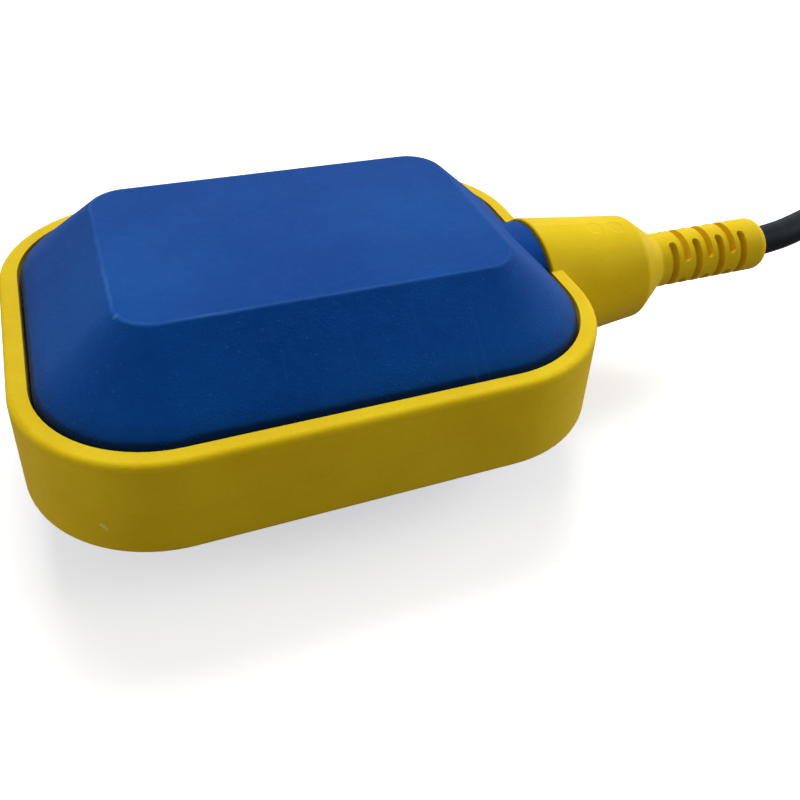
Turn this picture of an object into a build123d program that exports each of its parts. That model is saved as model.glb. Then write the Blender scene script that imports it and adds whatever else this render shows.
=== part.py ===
from build123d import *

import math
import os

# Cable float switch, in millimetres.
# X runs from the float towards its cable, Y across the float and Z up.
# The origin is the middle of the lower shell's flat face, on which the float rests.

# Float body
body_length = 100.0
body_width = 78.0
body_height = 42.0
seam_z = body_height / 2

# Bumper band
band_height = 18.1
band_corner_radius = 23.0
band_edge_radius = 1.1
rim_width = 3.1
rim_gap = 0.5
groove_wall = 1.6
flange_height = 3.0
flange_clearance = 0.2

# Shells
shell_wall = 2.0
shoulder_height = 9.1
shoulder_radius = 3.2
top_length = 66.8
top_width = 43.6
top_corner_radius = 6.4
top_edge_radius = 0.8
tongue_inset = 3.0
tongue_width = 1.2
tongue_height = 1.5
tongue_clearance = 0.1

# Neck and the barrel that is moulded over it
mouth_setback = 2.8
neck_depth = 16.0
neck_radius = 13.0
neck_wall = 2.0
mouth_radius = 13.55
spigot_radius = 9.2
spigot_length = 17.3
spigot_end_wall = 2.0
spigot_bore_radius = 7.2
bore_shoulder = 1.7
rib_height = 1.0
rib_width = 1.5
rib_offsets = (4.3, 10.3)
mould_clearance = 0.1

# Barrel and strain relief outside
barrel_length = 23.55
barrel_end_radius = 10.96
barrel_taper = 6.91
relief_radius = 5.86
relief_length = 28.78
nose_edge_radius = 2.5
barrel_edge_radius = 1.8
relief_root_radius = 1.2
slot_width = 1.8
slot_floor_radius = 4.3
slot_half_angle = 60.0
first_slot = 3.34
slot_pitch = 6.0
side_slots = 4

# Cable
cable_diameter = 6.6
core_diameter = 2.1
cable_fit = 0.05
sheath_stub = 4.5

# Ball and its channel
ball_radius = 8.0
ball_setback = 27.5
ball_travel = 18.0
ball_y = -15.0
ball_clearance = 0.3
guide_height = 2.5
guide_width = 1.2

# Switch carrier and its cover
carrier_base = 2.0
carrier_wall = 1.6
carrier_cover_thickness = 1.5
carrier_margin = 3.0
carrier_edge = 0.6
tab_width = 22.0
tab_radius = 3.0
cover_tab_width = 7.0
post_radius = 2.7
screw_hole_clearance = 0.1

# Screws
screw_radius = 1.4
screw_head_radius = 2.6
screw_head_height = 1.8
carrier_screw_length = 6.0
cover_screw_length = 7.0
grip_screw_length = 8.0
recess_width = 0.7
recess_depth = 0.8
boss_radius = 3.1

# Microswitch
case_overhang = 12.2
case_length = 27.8
case_depth = 15.9
case_thickness = 10.3
case_cover_thickness = 1.75
case_wall = 1.5
case_from_ball = 10.1
pin_radius = 1.5
pin_fit = 0.05
pin_from_end = 2.8
pin_spacing_x = 22.2
pin_spacing_y = 10.3
pin_boss_radius = 2.6
pad_radius = 3.0

# Lever that the ball presses
pivot_from_end = 2.2
pivot_from_face = 1.0
lever_swing = 5.0
lever_width = 4.0
leaf_thickness = 0.5
leaf_tip = 1.8
eye_radius = 1.35
lever_pin_radius = 0.75
ear_gap = 0.3
ear_thickness = 1.1

# Plunger, contacts and terminals
plunger_from_pivot = 10.5
plunger_radius = 1.25
plunger_gap = 0.2
plunger_collar_radius = 1.9
plunger_collar = 0.8
blade_arm = 8.0
blade_depth = 5.3
blade_thickness = 0.3
blade_width = 4.0
contact_from_plunger = 8.0
contact_radius = 1.2
contact_height = 0.5
contact_gap = 0.2
terminal_width = 4.8
terminal_thickness = 0.8
terminal_length = 7.6
closed_terminal_offset = 1.0
receptacle_length = 7.5
receptacle_wall = 0.5
crimp_length = 3.6
crimp_wall = 0.45
wire_pitch = 2.4
wire_wall_gap = 1.0
wire_climb = 6.0
wire_bend = 2.6
wire_run_out = 5.0
wire_turn_in = 13.0

# Cord grip and seals
grip_setback = 4.5
grip_length = 5.0
grip_screw_y = 8.0
grip_foot = 2.5
grip_wall = 2.0
cradle_width = 2.0
plug_length = 6.8
seal_lip = 0.5
seal_lips = 3

# Lead outside the float, from the nose to the coil: how far out, how far across, and its height
cable_run = [
    (7.2, 0.0, 21.1),
    (16.8, 1.7, 21.7),
    (29.0, 6.4, 20.6),
    (42.6, 11.4, 14.0),
    (55.6, 16.2, 6.3),
    (67.6, 20.6, 3.3),
    (79.6, 25.0, 3.3),
]
coil_outer_radius = 46.2
coil_turns_wide = 3
coil_top_turns = 2
tail_start_angle = 82.0
tail_end_angle = -13.0
ferrule_pin_radius = 0.8
ferrule_collar = 5.0
ferrule_length = 12.0

# Values that follow from the ones above
shell_inset = rim_width + rim_gap
flange_inset = groove_wall + flange_clearance
mouth_x = body_length / 2 - mouth_setback
neck_end_x = mouth_x - rim_gap
neck_root_x = neck_end_x - neck_depth
spigot_end_x = neck_end_x + spigot_length
spigot_bore_x = neck_end_x - bore_shoulder
barrel_end_x = mouth_x + barrel_length
relief_x = barrel_end_x + barrel_taper
nose_x = relief_x + relief_length
first_slot_x = relief_x + first_slot
grip_x = spigot_bore_x - grip_setback
sheath_end_x = grip_x - sheath_stub
cable_radius = cable_diameter / 2
core_radius = core_diameter / 2
cable_points = [(nose_x, 0, seam_z)] + [(nose_x + x, y, z) for x, y, z in cable_run]
ball_start_x = ball_setback - body_length / 2
channel_radius = ball_radius + ball_clearance
base_top = seam_z - channel_radius
cover_bottom = seam_z + channel_radius
channel_low_x = ball_start_x - channel_radius
channel_high_x = ball_start_x + ball_travel + channel_radius
channel_low_y = ball_y - channel_radius
channel_high_y = ball_y + channel_radius
case_x = ball_start_x - case_overhang
case_face_y = ball_y + case_from_ball
pivot_x = case_x + pivot_from_end
pivot_y = case_face_y - pivot_from_face
plunger_x = pivot_x + plunger_from_pivot
blade_pivot_x = plunger_x - blade_arm
blade_y = case_face_y + blade_depth
contact_x = plunger_x + contact_from_plunger
closed_terminal_x = plunger_x + closed_terminal_offset
left_tab_x = channel_low_x - carrier_wall - post_radius - 3.4
right_tab_x = channel_high_x + carrier_wall + post_radius + 0.9
tab_y = -2.0
case_end_x = case_x + case_length
case_back_y = case_face_y + case_depth
carrier_side_y = case_back_y + carrier_margin
carrier_edge_x = channel_high_x + carrier_wall + carrier_edge
wire_lane_y = body_width / 2 - shell_inset - shell_wall - core_radius - wire_wall_gap
case_bottom = seam_z - case_thickness / 2
case_top = seam_z + case_thickness / 2
case_split = case_top - case_cover_thickness
lever_rate = math.radians(lever_swing) / ball_travel
common_x = blade_pivot_x
open_terminal_x = contact_x
at_seam = Pos(0, 0, seam_z)
cable_axis = Axis((0, 0, seam_z), (1, 0, 0))


def outline(length, width, radius, z):
    """Face of a rounded rectangle at height z."""
    return Pos(0, 0, z) * RectangleRounded(length, width, radius)


def inset_outline(inset, z):
    """Face of the band's outer outline, moved inwards by inset."""
    return outline(body_length - 2 * inset, body_width - 2 * inset, band_corner_radius - inset, z)


def turned(points):
    """Solid turned about the cable's axis from points given as (x, radius)."""
    profile = make_face(Polyline(*[(x, 0, r) for x, r in points], close=True))
    return at_seam * revolve(profile, Axis.X)


def rod(x0, x1, radius):
    """Round bar along the cable's axis."""
    return turned([(x0, 0), (x0, radius), (x1, radius), (x1, 0)])


def block(x0, x1, y0, y1, z0, z1):
    """Box between two corners."""
    size = (x1 - x0, y1 - y0, z1 - z0)
    return Pos((x0 + x1) / 2, (y0 + y1) / 2, (z0 + z1) / 2) * Box(*size)


def post(x, y, z0, z1, radius):
    """Upright cylinder between two heights."""
    return Pos(x, y, z0) * Cylinder(radius, z1 - z0, align=(Align.CENTER, Align.CENTER, Align.MIN))


def crossbar(x, z, y0, y1, radius):
    """Round bar along Y."""
    bar = Cylinder(radius, y1 - y0, align=(Align.CENTER, Align.CENTER, Align.MIN))
    return Pos(x, y0, z) * Rot(-90, 0, 0) * bar


def hump(wall):
    """Solid above the seam inside a wall: straight sides, then slopes up to the flat top."""
    rise = seam_z - shoulder_height
    run_x = (body_length - 2 * shell_inset - top_length) / 2
    run_y = (body_width - 2 * shell_inset - top_width) / 2
    slope_x = math.atan2(rise, run_x)
    slope_y = math.atan2(rise, run_y)
    shoulder = seam_z + shoulder_height - wall * math.tan((math.pi / 2 - slope_y) / 2)
    top_x = top_length - 2 * wall * math.tan(slope_x / 2)
    top_y = top_width - 2 * wall * math.tan(slope_y / 2)
    top_radius = top_corner_radius - wall * math.tan(slope_y / 2)
    sides = extrude(inset_outline(shell_inset + wall, seam_z), shoulder - seam_z)
    foot = inset_outline(shell_inset + wall, shoulder)
    top = outline(top_x, top_y, top_radius, body_height - wall)
    return sides + loft([foot, top], ruled=True)


def rounded_hump():
    """The shell's outer form, with its shoulder and its top edge rounded."""
    form = hump(0)
    shoulder = form.edges().filter_by_position(
        Axis.Z, seam_z + shoulder_height - 0.01, seam_z + shoulder_height + 0.01
    )
    form = fillet(shoulder, shoulder_radius)
    top = form.faces().sort_by(Axis.Z)[-1].edges()
    return fillet(top, top_edge_radius)


def spigot_profile(clearance):
    """Outline of the spigot behind the mouth, as (x, radius), with its two ribs."""
    radius = spigot_radius + clearance
    end = spigot_end_x + clearance
    points = [(neck_end_x - 1, 0), (neck_end_x - 1, radius)]
    for x in [neck_end_x + offset for offset in rib_offsets]:
        points += [(x - clearance, radius), (x - clearance, radius + rib_height)]
        points += [(x + rib_width + clearance, radius + rib_height)]
        points += [(x + rib_width + clearance, radius)]
    return points + [(end, radius), (end, 0)]


def neck():
    """The neck's outside and the spigot that the barrel is moulded over."""
    return rod(neck_root_x, neck_end_x, neck_radius) + turned(spigot_profile(0))


def neck_bore():
    """Hollow inside the neck and the spigot, down to the cable's own hole."""
    wide = neck_radius - neck_wall
    start = neck_root_x - 1
    floor_x = spigot_end_x - spigot_end_wall
    hole = cable_radius + cable_fit
    return turned(
        [
            (start, 0),
            (start, wide),
            (spigot_bore_x, wide),
            (spigot_bore_x, spigot_bore_radius),
            (floor_x, spigot_bore_radius),
            (floor_x, hole),
            (spigot_end_x + 1, hole),
            (spigot_end_x + 1, 0),
        ]
    )


def seam_ring(inset, width, z, height):
    """Ring that follows the seam, open where the neck leaves the float."""
    ring = extrude(inset_outline(inset, z), height) - extrude(inset_outline(inset + width, z), height)
    return ring - rod(neck_root_x, spigot_end_x, neck_radius + rim_gap)


def half_shell():
    """Half of the float's case above the seam, with its flange and half of the neck."""
    flange = extrude(inset_outline(flange_inset, seam_z), flange_height)
    above = block(-body_length, body_length, -body_width, body_width, seam_z, 2 * body_height)
    form = rounded_hump() + flange + (neck() & above)
    return form - hump(shell_wall) - neck_bore()


def upper_shell():
    """Upper half, with the weld tongue under its rim."""
    tongue = seam_ring(tongue_inset, tongue_width, seam_z - tongue_height, tongue_height)
    return half_shell() + tongue


def carrier_screw_places():
    """Where the four screws hold the carrier down, two on each end tab."""
    low = tab_y - tab_width / 2 + tab_radius + 0.5
    high = tab_y + tab_width / 2 - tab_radius - 0.5
    return [(x, y) for x in (left_tab_x, right_tab_x) for y in (low, high)]


def cover_screw_places():
    """Where the two screws hold the carrier's cover."""
    return [(left_tab_x, tab_y), (right_tab_x, tab_y)]


def lower_shell():
    """Lower half: the same shell turned over, with bosses for the carrier and the cord grip."""
    shell = mirror(half_shell(), about=Plane.XY.offset(seam_z))
    room = mirror(hump(shell_wall / 2), about=Plane.XY.offset(seam_z))
    carrier_foot = base_top - carrier_base
    bosses = Part()
    holes = Part()
    for x, y in carrier_screw_places():
        bosses += post(x, y, 0, carrier_foot, boss_radius)
        depth = carrier_screw_length - carrier_base + 0.4
        holes += post(x, y, carrier_foot - depth, carrier_foot + 1, screw_radius + screw_hole_clearance)
    for y in (-grip_screw_y, grip_screw_y):
        bosses += post(grip_x, y, 0, seam_z - 0.01, boss_radius)
        depth = grip_screw_length - grip_foot + 0.4
        holes += post(grip_x, y, seam_z - depth, seam_z + 1, screw_radius + screw_hole_clearance)
    cradle = block(
        grip_x - cradle_width / 2, grip_x + cradle_width / 2, -grip_screw_y, grip_screw_y, 0, seam_z - 0.01
    )
    cradle -= rod(sheath_end_x, spigot_end_x, cable_radius + cable_fit)
    groove = seam_ring(
        tongue_inset - tongue_clearance,
        tongue_width + 2 * tongue_clearance,
        seam_z - tongue_height - tongue_clearance,
        tongue_height + 1,
    )
    return shell + ((bosses + cradle) & room) - holes - groove


def slot_along(x, middle):
    """One groove part of the way round the strain relief, with round ends."""
    depth = relief_radius + 1 - slot_floor_radius
    middle_radius = slot_floor_radius + depth / 2
    section = Plane.XZ * Pos(x, middle_radius) * Rectangle(slot_width, depth)
    groove = Rot(-slot_half_angle, 0, 0) * revolve(section, Axis.X, revolution_arc=2 * slot_half_angle)
    end = Cylinder(slot_width / 2, depth, align=(Align.CENTER, Align.CENTER, Align.MIN))
    for angle in (-slot_half_angle, slot_half_angle):
        groove += Rot(angle, 0, 0) * Pos(x, 0, slot_floor_radius) * end
    return at_seam * Rot(middle, 0, 0) * groove


def relief_slots():
    """Staggered grooves that let the strain relief bend: at both sides, and between them above and below."""
    slots = []
    for i in range(side_slots):
        x = first_slot_x + i * slot_pitch
        slots += [slot_along(x, 90), slot_along(x, -90)]
    for i in range(side_slots - 1):
        x = first_slot_x + (i + 0.5) * slot_pitch
        slots += [slot_along(x, 0), slot_along(x, 180)]
    return slots


def barrel_and_relief():
    """The tapered barrel and the strain relief as one turned form, solid inside."""
    corners = [
        (mouth_x, 0),
        (mouth_x, mouth_radius),
        (barrel_end_x, barrel_end_radius),
        (relief_x, relief_radius),
        (nose_x, relief_radius),
        (nose_x, 0),
    ]
    radii = [0.4, barrel_edge_radius, relief_root_radius, nose_edge_radius]
    side = FilletPolyline(*[(x, 0, r) for x, r in corners], radius=radii)
    profile = make_face(side + Line(side @ 1, side @ 0))
    return at_seam * revolve(profile, Axis.X)


def bumper_band():
    """The yellow moulding: the band round the seam, the barrel and the slotted strain relief."""
    low = seam_z - band_height / 2
    band = extrude(inset_outline(0, low), band_height)
    edges = band.edges().group_by(Axis.Z)
    band = fillet(edges[0] + edges[-1], band_edge_radius)
    pocket_height = flange_height + flange_clearance
    opening = extrude(inset_outline(rim_width, low - 1), band_height + 2)
    pocket = extrude(inset_outline(groove_wall, seam_z - pocket_height), 2 * pocket_height)
    neck_hole = rod(neck_root_x, mouth_x, neck_radius + rim_gap)
    cable_hole = rod(mouth_x, nose_x + 1, cable_radius + cable_fit)
    form = band + barrel_and_relief()
    form = form - opening - pocket - neck_hole - turned(spigot_profile(mould_clearance)) - cable_hole
    return form - relief_slots()


def tab_plate(low_x, high_x, width, z, thickness):
    """Plate that reaches past a plate's end to take its screws."""
    middle = (low_x + high_x) / 2
    return Pos(middle, tab_y, z) * extrude(
        RectangleRounded(high_x - low_x, width, tab_radius), thickness
    )


def carrier_plate(low_x, tab_size, z, thickness):
    """Flat outline shared by the carrier's base and its cover: one field and a tab at each end."""
    low_y = channel_low_y - carrier_wall
    field = block(low_x, carrier_edge_x, low_y, carrier_side_y, z, z + thickness)
    field = fillet(field.edges().filter_by(Axis.Z), tab_radius)
    reach = post_radius + 0.6
    left = tab_plate(left_tab_x - reach, low_x + 6, tab_size, z, thickness)
    right = tab_plate(carrier_edge_x - 6, right_tab_x + reach, tab_size, z, thickness)
    return field + left + right


def guide_y():
    """Edge of the low rib that keeps the ball off the microswitch."""
    half_chord = math.sqrt(channel_radius**2 - (channel_radius - guide_height) ** 2)
    return ball_y + half_chord


def pin_places():
    """Centres of the two pins that hold the microswitch."""
    x = case_x + pin_from_end
    y = case_face_y + pin_from_end
    return [(x, y), (x + pin_spacing_x, y + pin_spacing_y)]


def switch_carrier():
    """Tray with the ball's channel, the microswitch's pins and the cover's posts."""
    low_x = channel_low_x - carrier_wall
    low_y = channel_low_y - carrier_wall
    end_y = channel_high_y - 2.2
    form = carrier_plate(case_x - 0.8, tab_width, base_top - carrier_base, carrier_base)
    high_x = channel_high_x + carrier_wall
    form += block(low_x, high_x, low_y, channel_low_y, base_top, cover_bottom)
    form += block(low_x, channel_low_x, low_y, end_y, base_top, cover_bottom)
    form += block(channel_high_x, high_x, low_y, end_y, base_top, cover_bottom)
    rib_y = guide_y()
    form += block(channel_low_x, channel_high_x, rib_y, rib_y + guide_width, base_top, base_top + guide_height)
    for x, y in pin_places():
        form += post(x, y, base_top, case_bottom, pad_radius)
        form += post(x, y, case_bottom, cover_bottom + carrier_cover_thickness, pin_radius)
    for x, y in cover_screw_places():
        form += post(x, y, base_top, cover_bottom, post_radius)
        depth = cover_screw_length - carrier_cover_thickness + 0.5
        form -= post(x, y, cover_bottom - depth, cover_bottom + 1, screw_radius + screw_hole_clearance)
    for x, y in carrier_screw_places():
        form -= post(x, y, base_top - carrier_base - 1, base_top + 1, screw_radius + screw_hole_clearance)
    return form


def carrier_cover():
    """Lid over the ball's channel and the microswitch, with the upper guide rib."""
    form = carrier_plate(case_x - 0.8, cover_tab_width, cover_bottom, carrier_cover_thickness)
    rib_y = guide_y()
    form += block(
        channel_low_x + 0.2,
        channel_high_x - 0.2,
        rib_y,
        rib_y + guide_width,
        cover_bottom - guide_height,
        cover_bottom,
    )
    top = cover_bottom + carrier_cover_thickness + 1
    for x, y in pin_places():
        form -= post(x, y, cover_bottom - 1, top, pin_radius + pin_fit)
    for x, y in cover_screw_places():
        form -= post(x, y, cover_bottom - 1, top, screw_radius + screw_hole_clearance)
    return form


def screw(length):
    """Pan-head screw with a cross recess, its head's underside at the origin."""
    crown = screw_head_radius / 3
    profile = Polyline(
        (0, 0, screw_head_height),
        (screw_head_radius - crown, 0, screw_head_height),
        (screw_head_radius, 0, screw_head_height - crown),
        (screw_head_radius, 0, 0),
        (screw_radius, 0, 0),
        (screw_radius, 0, screw_radius - length),
        (0.2, 0, -length),
        (0, 0, -length),
        close=True,
    )
    form = revolve(make_face(profile), Axis.Z)
    reach = 1.3 * screw_radius
    z0 = screw_head_height - recess_depth
    half = recess_width / 2
    form -= block(-reach, reach, -half, half, z0, screw_head_height + 1)
    return form - block(-half, half, -reach, reach, z0, screw_head_height + 1)


def screws(places, z, length):
    """One screw at each place, as a group of separate solids."""
    return [Pos(x, y, z) * screw(length) for x, y in places]


def ball():
    """Steel ball at the far end of its channel."""
    return Pos(ball_start_x, ball_y, seam_z) * Sphere(ball_radius)


def lever_face(travel):
    """Point and normal, in the lever's own rest frame, where the ball presses after rolling by travel."""
    turn = -lever_rate * travel
    dx = ball_start_x + travel - pivot_x
    dy = ball_y - pivot_y
    x = pivot_x + dx * math.cos(turn) - dy * math.sin(turn)
    y = pivot_y + dx * math.sin(turn) + dy * math.cos(turn)
    direction = math.atan2(-lever_rate * dx, 1 + lever_rate * dy) + turn
    nx = -math.sin(direction)
    ny = math.cos(direction)
    return (x + channel_radius * nx, y + channel_radius * ny), (nx, ny)


def microswitch_lever():
    """Curved spring leaf with a rolled eye: its curve keeps the ball pressing evenly as it rolls."""
    contacts = [lever_face(ball_travel * i / 4) for i in range(5)]
    near = [(pivot_x + 0.5, pivot_y - eye_radius + 0.5)]
    (end_x, end_y), (nx, ny) = contacts[-1]
    tip = (end_x + leaf_tip * ny, end_y - leaf_tip * nx)
    normals = [contacts[0][1], *[n for _, n in contacts], (nx, ny)]
    lower = near + [p for p, _ in contacts] + [tip]
    upper = [
        (x + leaf_thickness * a, y + leaf_thickness * b)
        for (x, y), (a, b) in zip(lower, normals, strict=True)
    ]
    below = Spline(*lower)
    above = Spline(*upper)
    face = make_face(below + above + Line(below @ 0, above @ 0) + Line(below @ 1, above @ 1))
    z0 = seam_z - lever_width / 2
    leaf = Pos(0, 0, z0) * extrude(face, lever_width)
    eye = post(pivot_x, pivot_y, z0, z0 + lever_width, eye_radius)
    hole = post(pivot_x, pivot_y, z0 - 1, z0 + lever_width + 1, lever_pin_radius + pin_fit)
    return leaf + eye - hole


def lever_pin():
    """Pin through the lever's eye and the case's two ears."""
    half = lever_width / 2 + ear_gap + ear_thickness
    return post(pivot_x, pivot_y, seam_z - half, seam_z + half, lever_pin_radius)


def plunger_tip_y():
    """Outer end of the plunger at rest, a small gap from the free lever."""
    (x, y), (nx, ny) = lever_face(0)
    slope = -nx / ny
    return y + leaf_thickness / ny + slope * (plunger_x - x) + plunger_gap


def plunger_stroke():
    """How far the lever pushes the plunger over the ball's whole travel."""
    return (plunger_x - pivot_x) * math.tan(math.radians(lever_swing))


def blade_swing():
    """Angle in degrees that the contact blade turns by over the plunger's stroke."""
    return math.degrees(math.atan2(plunger_stroke(), blade_arm))


def strip(x, y0, y1):
    """Straight terminal strip along Y, its width along Z."""
    half = terminal_thickness / 2
    wide = terminal_width / 2
    form = block(x - half, x + half, y0, y1, seam_z - wide, seam_z + wide)
    corners = form.edges().filter_by(Axis.X).group_by(Axis.Y)[-1]
    return chamfer(corners, 0.8)


def open_contact_y():
    """Face of the fixed contact that the blade reaches when the switch is pressed."""
    rise = (contact_x - blade_pivot_x) * math.tan(math.radians(blade_swing()))
    return blade_y + blade_thickness + contact_height + rise + contact_gap


def closed_contact_y():
    """Face of the fixed contact that the blade rests on when the switch is free."""
    return blade_y - contact_height - contact_gap


def common_terminal():
    """Terminal that carries the contact blade's hinged end."""
    return strip(common_x, blade_y + blade_thickness + ear_gap, case_back_y + terminal_length)


def normally_open_terminal():
    """Terminal with the contact that closes when the ball presses the lever."""
    face = open_contact_y()
    form = strip(open_terminal_x, face + contact_height, case_back_y + terminal_length)
    return form + crossbar(contact_x, seam_z, face, face + contact_height + 0.3, contact_radius)


def closed_foot():
    """Flat part of the normally closed terminal, on the floor of the case."""
    z0 = case_bottom + case_wall + pin_fit
    face = closed_contact_y()
    low_y = face - contact_height - terminal_thickness
    half = terminal_thickness / 2
    across = block(
        closed_terminal_x - half, contact_x + contact_radius, low_y, low_y + 3, z0, z0 + terminal_thickness
    )
    back = case_back_y - case_wall - pin_fit
    along = block(closed_terminal_x - half, closed_terminal_x + 2, low_y, back, z0, z0 + terminal_thickness)
    return across + along


def normally_closed_terminal():
    """Terminal with the contact that the free blade rests on."""
    half = terminal_thickness / 2
    wide = terminal_width / 2
    z0 = case_bottom + case_wall + pin_fit
    face = closed_contact_y()
    back = case_back_y - case_wall - pin_fit
    low_y = face - contact_height - terminal_thickness
    form = strip(closed_terminal_x, back - 3, case_back_y + terminal_length) + closed_foot()
    form += block(closed_terminal_x - half, closed_terminal_x + half, back - 3, back, z0, seam_z - wide + 1)
    form += block(
        contact_x - contact_radius, contact_x + contact_radius, low_y, low_y + terminal_thickness, z0, seam_z + contact_radius
    )
    return form + crossbar(contact_x, seam_z, face - contact_height - 0.3, face, contact_radius)


def contact_blade():
    """Moving strip with a contact button on both faces, hinged at the common terminal."""
    half = blade_width / 2
    form = block(
        blade_pivot_x - 0.6,
        contact_x + contact_radius + 0.4,
        blade_y,
        blade_y + blade_thickness,
        seam_z - half,
        seam_z + half,
    )
    form += post(blade_pivot_x, blade_y + blade_thickness / 2, seam_z - half, seam_z + half, blade_thickness)
    low = blade_y - contact_height
    return form + crossbar(contact_x, seam_z, low, blade_y + blade_thickness + contact_height, contact_radius)


def plunger():
    """Push button of the microswitch, with the collar that keeps it in."""
    tip = plunger_tip_y()
    inner = case_face_y + case_wall
    end = blade_y - plunger_gap
    form = crossbar(plunger_x, seam_z, tip, end, plunger_radius)
    form = fillet(form.edges().sort_by(Axis.Y)[0], 0.5)
    collar = inner + ear_gap
    return form + crossbar(plunger_x, seam_z, collar, collar + plunger_collar, plunger_collar_radius)


def terminal_slots():
    """Openings in the case's back wall for the three terminals."""
    half = terminal_thickness / 2 + pin_fit
    wide = terminal_width / 2 + pin_fit
    low = case_back_y - case_wall - 1
    return [
        block(x - half, x + half, low, case_back_y + 1, seam_z - wide, seam_z + wide)
        for x in (common_x, closed_terminal_x, open_terminal_x)
    ]


def microswitch_case():
    """Open box of the microswitch with its fixing holes and the ears for the lever."""
    form = block(case_x, case_end_x, case_face_y, case_back_y, case_bottom, case_split)
    form = fillet(form.edges().filter_by(Axis.Z), 1.0)
    hollow = block(
        case_x + case_wall,
        case_end_x - case_wall,
        case_face_y + case_wall,
        case_back_y - case_wall,
        case_bottom + case_wall,
        case_split + 1,
    )
    for x, y in pin_places():
        hollow -= post(x, y, case_bottom, case_split + 2, pin_boss_radius)
    form -= hollow
    for x, y in pin_places():
        form -= post(x, y, case_bottom - 1, case_split + 1, pin_radius + pin_fit)
    ear_low = seam_z + lever_width / 2 + ear_gap
    form -= post(pivot_x, pivot_y, 2 * seam_z - ear_low, ear_low, eye_radius + ear_gap)
    for z0 in (ear_low, 2 * seam_z - ear_low - ear_thickness):
        arm = block(pivot_x - 1.7, pivot_x + 1.7, pivot_y, case_face_y + 0.5, z0, z0 + ear_thickness)
        arm += post(pivot_x, pivot_y, z0, z0 + ear_thickness, 1.7)
        form += arm - post(pivot_x, pivot_y, z0 - 1, z0 + ear_thickness + 1, lever_pin_radius + pin_fit / 2)
    form -= crossbar(plunger_x, seam_z, case_face_y - 1, case_face_y + case_wall + 0.5, plunger_radius + pin_fit)
    return form - terminal_slots()


def microswitch_cover():
    """Flat cover of the microswitch."""
    form = block(case_x, case_end_x, case_face_y, case_back_y, case_split, case_top)
    form = fillet(form.edges().filter_by(Axis.Z), 1.0)
    for x, y in pin_places():
        form -= post(x, y, case_split - 1, case_top + 1, pin_radius + pin_fit)
    return form


def receptacle(x):
    """Push-on receptacle with its wire crimp, over one terminal."""
    start = case_back_y + 0.8
    end = start + receptacle_length
    half = terminal_thickness / 2 + receptacle_wall + pin_fit
    wide = terminal_width / 2 + receptacle_wall + pin_fit
    form = block(x - half, x + half, start, end, seam_z - wide, seam_z + wide)
    slot = terminal_thickness / 2 + pin_fit
    slot_wide = terminal_width / 2 + pin_fit
    form -= block(x - slot, x + slot, start - 1, end - receptacle_wall, seam_z - slot_wide, seam_z + slot_wide)
    form += crossbar(x, seam_z, end, end + crimp_length, core_radius + cable_fit + crimp_wall)
    return form - crossbar(x, seam_z, end + receptacle_wall, end + crimp_length + 1, core_radius + cable_fit)


def tube(points, radii, radius):
    """Round tube along straight runs joined by tangent arcs."""
    path = FilletPolyline(*points, radius=radii)
    start = Plane(origin=path @ 0, z_dir=path % 0)
    return sweep(start * Circle(radius), path=path)


def core_wire(x, lane, y, z):
    """Insulated core from a receptacle, along the wall, round to the cut end of the sheath."""
    crimp_end = case_back_y + 0.8 + receptacle_length
    level = seam_z + (-wire_pitch, wire_pitch, 0)[lane]
    corner_x = sheath_end_x - wire_run_out - wire_turn_in - lane * wire_pitch
    meet_x = sheath_end_x - wire_run_out - lane * core_radius
    points = [
        (x, crimp_end + receptacle_wall + 0.2, seam_z),
        (x, wire_lane_y, seam_z),
        (x + wire_climb, wire_lane_y, level),
        (corner_x, wire_lane_y, level),
        (meet_x, y, seam_z + z),
        (sheath_end_x - 0.05, y, seam_z + z),
    ]
    if lane == 2:
        points.pop(2)
    return tube(points, [wire_bend] * (len(points) - 2), core_radius)


def core_spots():
    """Centres of the three cores in the sheath, as (y, z) from its axis."""
    reach = (core_diameter + 0.1) / math.sqrt(3)
    return [
        (reach * math.cos(math.radians(a)), reach * math.sin(math.radians(a))) for a in (-30, 90, 210)
    ]


def cable_entry():
    """The lead's sheath inside the float, from its cut end to where the free lead starts."""
    sheath = rod(sheath_end_x, nose_x + 1, cable_radius)
    start = Plane(origin=cable_points[0], z_dir=Vector(*cable_points[1]) - Vector(*cable_points[0]))
    return split(sheath, bisect_by=start, keep=Keep.BOTTOM)


def cord_grip():
    """Saddle that clamps the sheath on its cradle."""
    low = grip_x - grip_length / 2
    high = grip_x + grip_length / 2
    side = grip_screw_y + boss_radius
    form = block(low, high, -side, side, seam_z, seam_z + grip_foot)
    form = fillet(form.edges().filter_by(Axis.Z), 1.0)
    arch = rod(low, high, cable_radius + grip_wall) & block(low, high, -side, side, seam_z, body_height)
    form = form + arch - rod(low - 1, high + 1, cable_radius + cable_fit)
    for y in (-grip_screw_y, grip_screw_y):
        form -= post(grip_x, y, seam_z - 1, seam_z + grip_foot + 1, screw_radius + screw_hole_clearance)
    return form


def potting_plug():
    """Resin cast round the sheath at the start of the spigot's bore."""
    end = spigot_bore_x + plug_length
    plug = rod(spigot_bore_x, end, spigot_bore_radius - cable_fit)
    return plug - rod(spigot_bore_x - 1, end + 1, cable_radius + cable_fit)


def cable_seal():
    """Rubber sleeve with lips, pressed between the sheath and the spigot's bore."""
    start = spigot_bore_x + plug_length + cable_fit
    end = spigot_end_x - spigot_end_wall - cable_fit
    outer = spigot_bore_radius - cable_fit
    inner = outer - seal_lip
    step = (end - start) / (2 * seal_lips - 1)
    points = [(start, cable_radius + cable_fit)]
    for i in range(2 * seal_lips - 1):
        radius = outer if i % 2 == 0 else inner
        points += [(start + i * step, radius), (start + (i + 1) * step, radius)]
    return turned(points + [(end, cable_radius + cable_fit)])


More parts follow.
